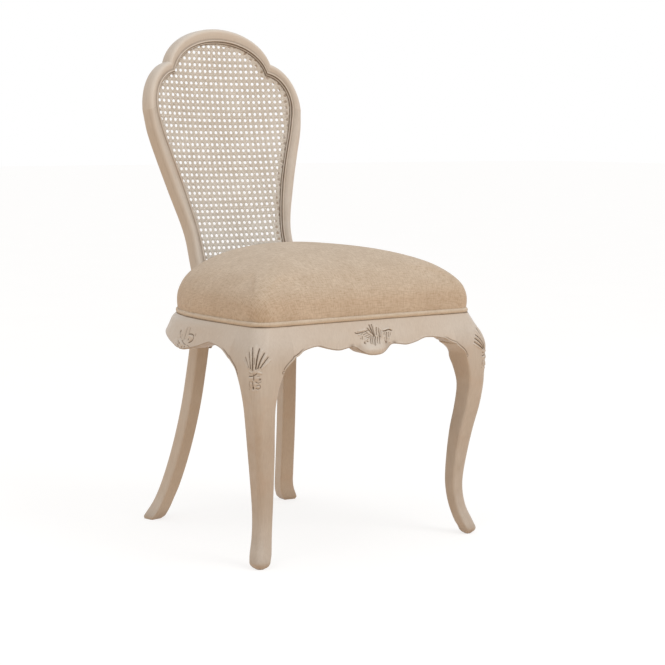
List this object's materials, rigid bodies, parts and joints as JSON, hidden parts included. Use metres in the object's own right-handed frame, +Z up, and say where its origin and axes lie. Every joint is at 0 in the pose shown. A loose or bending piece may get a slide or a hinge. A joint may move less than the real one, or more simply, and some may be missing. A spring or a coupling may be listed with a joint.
{
  "type": "bedroom chair",
  "caption": "Armless side chair with painted cabriole legs, scalloped and carved rails, a domed upholstered seat with piping and a trefoil-topped cane back.",
  "frame": {"origin": "on the floor, under the middle of the chair's plan", "axes": "+Z up, -Y towards the front of the seat, +X to the right as the front is seen"},
  "size_m": [0.5544, 0.5494, 0.9815],
  "materials": {
    "paint": "satin warm off-white paint with darker glaze in the carving",
    "cane": "matt painted cane weave",
    "linen": "plain linen weave",
    "piping": "linen-covered cord",
    "foam": "upholstery foam",
    "dust_cloth": "thin black cloth",
    "beech": "bare beech and plywood",
    "steel": "zinc-plated"
  },
  "bodies": {
    "root": {"front_leg_left": "paint", "front_leg_right": "paint", "rear_post_left": "paint", "rear_post_right": "paint", "crest_rail": "paint", "back_lower_rail": "paint", "front_rail": "paint", "side_rail_left": "paint", "side_rail_right": "paint", "rear_rail": "paint", "corner_block_front_left": "beech", "corner_block_front_right": "beech", "corner_block_rear_left": "beech", "corner_block_rear_right": "beech", "rail_dowels": "beech", "back_dowels": "beech", "block_screws": "steel", "seat_screws": "steel", "cane_panel": "cane", "cane_spline": "paint", "seat_board": "beech", "seat_foam": "foam", "seat_cover": "linen", "seat_piping": "piping", "dust_cover": "dust_cloth"}
  },
  "joints": []
}
